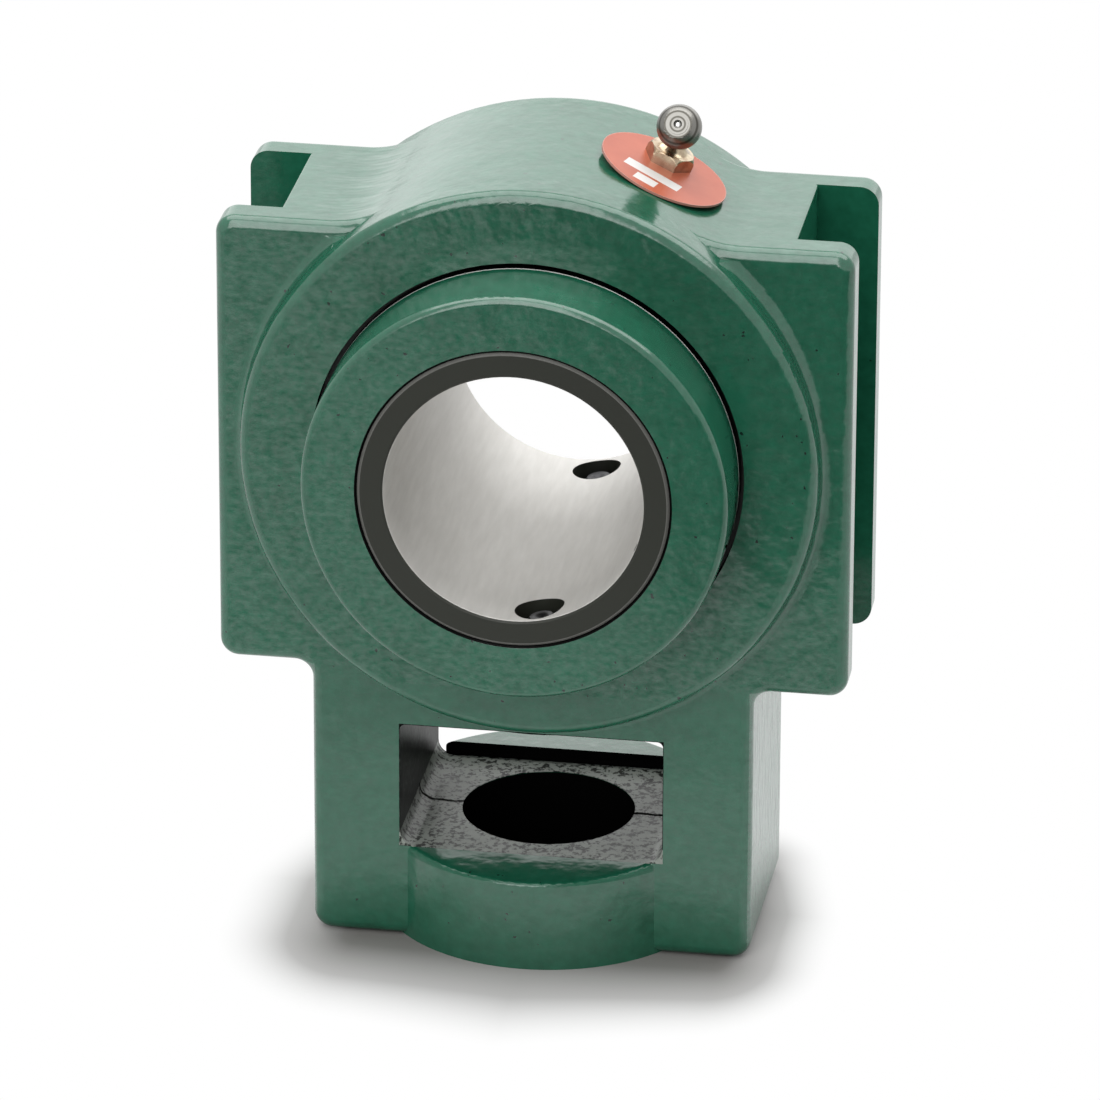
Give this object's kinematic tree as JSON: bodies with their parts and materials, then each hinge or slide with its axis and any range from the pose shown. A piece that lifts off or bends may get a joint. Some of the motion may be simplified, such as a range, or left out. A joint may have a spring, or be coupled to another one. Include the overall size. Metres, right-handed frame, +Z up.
{
  "type": "take up bearing unit",
  "caption": "Take-up bearing unit: cast housing that slides on two frame rails, with a tapered roller bearing and set collars for a through shaft.",
  "frame": {"origin": "on the shaft axis, half way between the two guide flanges", "axes": "+Y along the shaft towards the rear, the front looks along -Y, +Z up from the foot to the crown"},
  "size_m": [0.0938, 0.0622, 0.129],
  "materials": {
    "green_paint": "glossy enamel over sand-cast iron",
    "race": "fine ground bore, black end faces",
    "bearing_steel": "ground and polished",
    "cage_steel": "pressed sheet",
    "dark_steel": "black oxide",
    "seal": "satin moulded",
    "plated_steel": "bright plated, warm tint",
    "label_red": "satin printed plastic"
  },
  "bodies": {
    "housing_group": {"housing": "green_paint", "front_cup": "bearing_steel", "rear_cup": "bearing_steel", "cup_spacer": "bearing_steel", "front_seal": "seal", "rear_seal": "seal", "adjusting_ring": "dark_steel", "ring_lock_pin": "dark_steel", "grease_fitting": "plated_steel", "check_spring": "bearing_steel", "label_washer": "label_red"},
    "shaft_group": {"inner_race": "race", "front_collar": "green_paint", "rear_collar": "green_paint"},
    "front_cage_group": {"front_cage": "cage_steel"},
    "rear_cage_group": {"rear_cage": "cage_steel"},
    "front_roller_01_body": {"front_roller_01": "bearing_steel"},
    "front_roller_02_body": {"front_roller_02": "bearing_steel"},
    "front_roller_03_body": {"front_roller_03": "bearing_steel"},
    "front_roller_04_body": {"front_roller_04": "bearing_steel"},
    "front_roller_05_body": {"front_roller_05": "bearing_steel"},
    "front_roller_06_body": {"front_roller_06": "bearing_steel"},
    "front_roller_07_body": {"front_roller_07": "bearing_steel"},
    "front_roller_08_body": {"front_roller_08": "bearing_steel"},
    "front_roller_09_body": {"front_roller_09": "bearing_steel"},
    "front_roller_10_body": {"front_roller_10": "bearing_steel"},
    "front_roller_11_body": {"front_roller_11": "bearing_steel"},
    "front_roller_12_body": {"front_roller_12": "bearing_steel"},
    "front_roller_13_body": {"front_roller_13": "bearing_steel"},
    "front_roller_14_body": {"front_roller_14": "bearing_steel"},
    "front_roller_15_body": {"front_roller_15": "bearing_steel"},
    "front_roller_16_body": {"front_roller_16": "bearing_steel"},
    "front_roller_17_body": {"front_roller_17": "bearing_steel"},
    "front_roller_18_body": {"front_roller_18": "bearing_steel"},
    "front_set_screw_1_body": {"front_set_screw_1": "dark_steel"},
    "front_set_screw_2_body": {"front_set_screw_2": "dark_steel"},
    "rear_roller_01_body": {"rear_roller_01": "bearing_steel"},
    "rear_roller_02_body": {"rear_roller_02": "bearing_steel"},
    "rear_roller_03_body": {"rear_roller_03": "bearing_steel"},
    "rear_roller_04_body": {"rear_roller_04": "bearing_steel"},
    "rear_roller_05_body": {"rear_roller_05": "bearing_steel"},
    "rear_roller_06_body": {"rear_roller_06": "bearing_steel"},
    "rear_roller_07_body": {"rear_roller_07": "bearing_steel"},
    "rear_roller_08_body": {"rear_roller_08": "bearing_steel"},
    "rear_roller_09_body": {"rear_roller_09": "bearing_steel"},
    "rear_roller_10_body": {"rear_roller_10": "bearing_steel"},
    "rear_roller_11_body": {"rear_roller_11": "bearing_steel"},
    "rear_roller_12_body": {"rear_roller_12": "bearing_steel"},
    "rear_roller_13_body": {"rear_roller_13": "bearing_steel"},
    "rear_roller_14_body": {"rear_roller_14": "bearing_steel"},
    "rear_roller_15_body": {"rear_roller_15": "bearing_steel"},
    "rear_roller_16_body": {"rear_roller_16": "bearing_steel"},
    "rear_roller_17_body": {"rear_roller_17": "bearing_steel"},
    "rear_roller_18_body": {"rear_roller_18": "bearing_steel"},
    "rear_set_screw_1_body": {"rear_set_screw_1": "dark_steel"},
    "rear_set_screw_2_body": {"rear_set_screw_2": "dark_steel"},
    "check_ball_body": {"check_ball": "bearing_steel"}
  },
  "joints": [
    {"name": "shaft_spin", "type": "hinge", "parent": "housing_group", "child": "shaft_group", "pos_m": [0, 0, 0], "axis": [0, 1, 0], "continuous": true},
    {"name": "front_cage_spin", "type": "hinge", "parent": "housing_group", "child": "front_cage_group", "pos_m": [0, 0, 0], "axis": [0, 1, 0], "continuous": true},
    {"name": "front_roller_01_spin", "type": "hinge", "parent": "front_cage_group", "child": "front_roller_01_body", "pos_m": [0.02755, -0.0098, 0], "axis": [0.2292, 0.9734, 0], "continuous": true},
    {"name": "front_roller_02_spin", "type": "hinge", "parent": "front_cage_group", "child": "front_roller_02_body", "pos_m": [0.02589, -0.0098, 0.00942], "axis": [0.2154, 0.9734, 0.0784], "continuous": true},
    {"name": "front_roller_03_spin", "type": "hinge", "parent": "front_cage_group", "child": "front_roller_03_body", "pos_m": [0.0211, -0.0098, 0.01771], "axis": [0.1756, 0.9734, 0.1473], "continuous": true},
    {"name": "front_roller_04_spin", "type": "hinge", "parent": "front_cage_group", "child": "front_roller_04_body", "pos_m": [0.01378, -0.0098, 0.02386], "axis": [0.1146, 0.9734, 0.1985], "continuous": true},
    {"name": "front_roller_05_spin", "type": "hinge", "parent": "front_cage_group", "child": "front_roller_05_body", "pos_m": [0.00478, -0.0098, 0.02713], "axis": [0.0398, 0.9734, 0.2257], "continuous": true},
    {"name": "front_roller_06_spin", "type": "hinge", "parent": "front_cage_group", "child": "front_roller_06_body", "pos_m": [-0.00478, -0.0098, 0.02713], "axis": [-0.0398, 0.9734, 0.2257], "continuous": true},
    {"name": "front_roller_07_spin", "type": "hinge", "parent": "front_cage_group", "child": "front_roller_07_body", "pos_m": [-0.01378, -0.0098, 0.02386], "axis": [-0.1146, 0.9734, 0.1985], "continuous": true},
    {"name": "front_roller_08_spin", "type": "hinge", "parent": "front_cage_group", "child": "front_roller_08_body", "pos_m": [-0.0211, -0.0098, 0.01771], "axis": [-0.1756, 0.9734, 0.1473], "continuous": true},
    {"name": "front_roller_09_spin", "type": "hinge", "parent": "front_cage_group", "child": "front_roller_09_body", "pos_m": [-0.02589, -0.0098, 0.00942], "axis": [-0.2154, 0.9734, 0.0784], "continuous": true},
    {"name": "front_roller_10_spin", "type": "hinge", "parent": "front_cage_group", "child": "front_roller_10_body", "pos_m": [-0.02755, -0.0098, 0], "axis": [-0.2292, 0.9734, 0], "continuous": true},
    {"name": "front_roller_11_spin", "type": "hinge", "parent": "front_cage_group", "child": "front_roller_11_body", "pos_m": [-0.02589, -0.0098, -0.00942], "axis": [-0.2154, 0.9734, -0.0784], "continuous": true},
    {"name": "front_roller_12_spin", "type": "hinge", "parent": "front_cage_group", "child": "front_roller_12_body", "pos_m": [-0.0211, -0.0098, -0.01771], "axis": [-0.1756, 0.9734, -0.1473], "continuous": true},
    {"name": "front_roller_13_spin", "type": "hinge", "parent": "front_cage_group", "child": "front_roller_13_body", "pos_m": [-0.01378, -0.0098, -0.02386], "axis": [-0.1146, 0.9734, -0.1985], "continuous": true},
    {"name": "front_roller_14_spin", "type": "hinge", "parent": "front_cage_group", "child": "front_roller_14_body", "pos_m": [-0.00478, -0.0098, -0.02713], "axis": [-0.0398, 0.9734, -0.2257], "continuous": true},
    {"name": "front_roller_15_spin", "type": "hinge", "parent": "front_cage_group", "child": "front_roller_15_body", "pos_m": [0.00478, -0.0098, -0.02713], "axis": [0.0398, 0.9734, -0.2257], "continuous": true},
    {"name": "front_roller_16_spin", "type": "hinge", "parent": "front_cage_group", "child": "front_roller_16_body", "pos_m": [0.01378, -0.0098, -0.02386], "axis": [0.1146, 0.9734, -0.1985], "continuous": true},
    {"name": "front_roller_17_spin", "type": "hinge", "parent": "front_cage_group", "child": "front_roller_17_body", "pos_m": [0.0211, -0.0098, -0.01771], "axis": [0.1756, 0.9734, -0.1473], "continuous": true},
    {"name": "front_roller_18_spin", "type": "hinge", "parent": "front_cage_group", "child": "front_roller_18_body", "pos_m": [0.02589, -0.0098, -0.00942], "axis": [0.2154, 0.9734, -0.0784], "continuous": true},
    {"name": "front_set_screw_1_travel", "type": "slide", "parent": "shaft_group", "child": "front_set_screw_1_body", "axis": [-0.1736, 0, 0.9848], "range_m": [-0.0033, 0.0012]},
    {"name": "front_set_screw_2_travel", "type": "slide", "parent": "shaft_group", "child": "front_set_screw_2_body", "axis": [-0.9659, 0, 0.2588], "range_m": [-0.0033, 0.0012]},
    {"name": "rear_cage_spin", "type": "hinge", "parent": "housing_group", "child": "rear_cage_group", "pos_m": [0, 0, 0], "axis": [0, 1, 0], "continuous": true},
    {"name": "rear_roller_01_spin", "type": "hinge", "parent": "rear_cage_group", "child": "rear_roller_01_body", "pos_m": [0.02713, 0.0046, 0.00478], "axis": [-0.2257, 0.9734, -0.0398], "continuous": true},
    {"name": "rear_roller_02_spin", "type": "hinge", "parent": "rear_cage_group", "child": "rear_roller_02_body", "pos_m": [0.02386, 0.0046, 0.01378], "axis": [-0.1985, 0.9734, -0.1146], "continuous": true},
    {"name": "rear_roller_03_spin", "type": "hinge", "parent": "rear_cage_group", "child": "rear_roller_03_body", "pos_m": [0.01771, 0.0046, 0.0211], "axis": [-0.1473, 0.9734, -0.1756], "continuous": true},
    {"name": "rear_roller_04_spin", "type": "hinge", "parent": "rear_cage_group", "child": "rear_roller_04_body", "pos_m": [0.00942, 0.0046, 0.02589], "axis": [-0.0784, 0.9734, -0.2154], "continuous": true},
    {"name": "rear_roller_05_spin", "type": "hinge", "parent": "rear_cage_group", "child": "rear_roller_05_body", "pos_m": [0, 0.0046, 0.02755], "axis": [0, 0.9734, -0.2292], "continuous": true},
    {"name": "rear_roller_06_spin", "type": "hinge", "parent": "rear_cage_group", "child": "rear_roller_06_body", "pos_m": [-0.00942, 0.0046, 0.02589], "axis": [0.0784, 0.9734, -0.2154], "continuous": true},
    {"name": "rear_roller_07_spin", "type": "hinge", "parent": "rear_cage_group", "child": "rear_roller_07_body", "pos_m": [-0.01771, 0.0046, 0.0211], "axis": [0.1473, 0.9734, -0.1756], "continuous": true},
    {"name": "rear_roller_08_spin", "type": "hinge", "parent": "rear_cage_group", "child": "rear_roller_08_body", "pos_m": [-0.02386, 0.0046, 0.01378], "axis": [0.1985, 0.9734, -0.1146], "continuous": true},
    {"name": "rear_roller_09_spin", "type": "hinge", "parent": "rear_cage_group", "child": "rear_roller_09_body", "pos_m": [-0.02713, 0.0046, 0.00478], "axis": [0.2257, 0.9734, -0.0398], "continuous": true},
    {"name": "rear_roller_10_spin", "type": "hinge", "parent": "rear_cage_group", "child": "rear_roller_10_body", "pos_m": [-0.02713, 0.0046, -0.00478], "axis": [0.2257, 0.9734, 0.0398], "continuous": true},
    {"name": "rear_roller_11_spin", "type": "hinge", "parent": "rear_cage_group", "child": "rear_roller_11_body", "pos_m": [-0.02386, 0.0046, -0.01378], "axis": [0.1985, 0.9734, 0.1146], "continuous": true},
    {"name": "rear_roller_12_spin", "type": "hinge", "parent": "rear_cage_group", "child": "rear_roller_12_body", "pos_m": [-0.01771, 0.0046, -0.0211], "axis": [0.1473, 0.9734, 0.1756], "continuous": true},
    {"name": "rear_roller_13_spin", "type": "hinge", "parent": "rear_cage_group", "child": "rear_roller_13_body", "pos_m": [-0.00942, 0.0046, -0.02589], "axis": [0.0784, 0.9734, 0.2154], "continuous": true},
    {"name": "rear_roller_14_spin", "type": "hinge", "parent": "rear_cage_group", "child": "rear_roller_14_body", "pos_m": [0, 0.0046, -0.02755], "axis": [0, 0.9734, 0.2292], "continuous": true},
    {"name": "rear_roller_15_spin", "type": "hinge", "parent": "rear_cage_group", "child": "rear_roller_15_body", "pos_m": [0.00942, 0.0046, -0.02589], "axis": [-0.0784, 0.9734, 0.2154], "continuous": true},
    {"name": "rear_roller_16_spin", "type": "hinge", "parent": "rear_cage_group", "child": "rear_roller_16_body", "pos_m": [0.01771, 0.0046, -0.0211], "axis": [-0.1473, 0.9734, 0.1756], "continuous": true},
    {"name": "rear_roller_17_spin", "type": "hinge", "parent": "rear_cage_group", "child": "rear_roller_17_body", "pos_m": [0.02386, 0.0046, -0.01378], "axis": [-0.1985, 0.9734, 0.1146], "continuous": true},
    {"name": "rear_roller_18_spin", "type": "hinge", "parent": "rear_cage_group", "child": "rear_roller_18_body", "pos_m": [0.02713, 0.0046, -0.00478], "axis": [-0.2257, 0.9734, 0.0398], "continuous": true},
    {"name": "rear_set_screw_1_travel", "type": "slide", "parent": "shaft_group", "child": "rear_set_screw_1_body", "axis": [-0.1736, 0, 0.9848], "range_m": [-0.0033, 0.0012]},
    {"name": "rear_set_screw_2_travel", "type": "slide", "parent": "shaft_group", "child": "rear_set_screw_2_body", "axis": [-0.9659, 0, 0.2588], "range_m": [-0.0033, 0.0012]},
    {"name": "check_ball_travel", "type": "slide", "parent": "housing_group", "child": "check_ball_body", "axis": [-0.0435, 0.8727, -0.4863], "range_m": [0, 0.0008], "stiffness_N_per_m": 300, "springref_m": -0.001, "deforming": ["check_spring"]}
  ],
  "couplings": [
    {"joint": "front_cage_spin", "follows": "shaft_spin", "ratio": 0.4444},
    {"joint": "front_roller_01_spin", "follows": "shaft_spin", "ratio": -4.3208},
    {"joint": "front_roller_02_spin", "follows": "shaft_spin", "ratio": -4.3208},
    {"joint": "front_roller_03_spin", "follows": "shaft_spin", "ratio": -4.3208},
    {"joint": "front_roller_04_spin", "follows": "shaft_spin", "ratio": -4.3208},
    {"joint": "front_roller_05_spin", "follows": "shaft_spin", "ratio": -4.3208},
    {"joint": "front_roller_06_spin", "follows": "shaft_spin", "ratio": -4.3208},
    {"joint": "front_roller_07_spin", "follows": "shaft_spin", "ratio": -4.3208},
    {"joint": "front_roller_08_spin", "follows": "shaft_spin", "ratio": -4.3208},
    {"joint": "front_roller_09_spin", "follows": "shaft_spin", "ratio": -4.3208},
    {"joint": "front_roller_10_spin", "follows": "shaft_spin", "ratio": -4.3208},
    {"joint": "front_roller_11_spin", "follows": "shaft_spin", "ratio": -4.3208},
    {"joint": "front_roller_12_spin", "follows": "shaft_spin", "ratio": -4.3208},
    {"joint": "front_roller_13_spin", "follows": "shaft_spin", "ratio": -4.3208},
    {"joint": "front_roller_14_spin", "follows": "shaft_spin", "ratio": -4.3208},
    {"joint": "front_roller_15_spin", "follows": "shaft_spin", "ratio": -4.3208},
    {"joint": "front_roller_16_spin", "follows": "shaft_spin", "ratio": -4.3208},
    {"joint": "front_roller_17_spin", "follows": "shaft_spin", "ratio": -4.3208},
    {"joint": "front_roller_18_spin", "follows": "shaft_spin", "ratio": -4.3208},
    {"joint": "rear_cage_spin", "follows": "shaft_spin", "ratio": 0.4444},
    {"joint": "rear_roller_01_spin", "follows": "shaft_spin", "ratio": -4.3208},
    {"joint": "rear_roller_02_spin", "follows": "shaft_spin", "ratio": -4.3208},
    {"joint": "rear_roller_03_spin", "follows": "shaft_spin", "ratio": -4.3208},
    {"joint": "rear_roller_04_spin", "follows": "shaft_spin", "ratio": -4.3208},
    {"joint": "rear_roller_05_spin", "follows": "shaft_spin", "ratio": -4.3208},
    {"joint": "rear_roller_06_spin", "follows": "shaft_spin", "ratio": -4.3208},
    {"joint": "rear_roller_07_spin", "follows": "shaft_spin", "ratio": -4.3208},
    {"joint": "rear_roller_08_spin", "follows": "shaft_spin", "ratio": -4.3208},
    {"joint": "rear_roller_09_spin", "follows": "shaft_spin", "ratio": -4.3208},
    {"joint": "rear_roller_10_spin", "follows": "shaft_spin", "ratio": -4.3208},
    {"joint": "rear_roller_11_spin", "follows": "shaft_spin", "ratio": -4.3208},
    {"joint": "rear_roller_12_spin", "follows": "shaft_spin", "ratio": -4.3208},
    {"joint": "rear_roller_13_spin", "follows": "shaft_spin", "ratio": -4.3208},
    {"joint": "rear_roller_14_spin", "follows": "shaft_spin", "ratio": -4.3208},
    {"joint": "rear_roller_15_spin", "follows": "shaft_spin", "ratio": -4.3208},
    {"joint": "rear_roller_16_spin", "follows": "shaft_spin", "ratio": -4.3208},
    {"joint": "rear_roller_17_spin", "follows": "shaft_spin", "ratio": -4.3208},
    {"joint": "rear_roller_18_spin", "follows": "shaft_spin", "ratio": -4.3208}
  ]
}
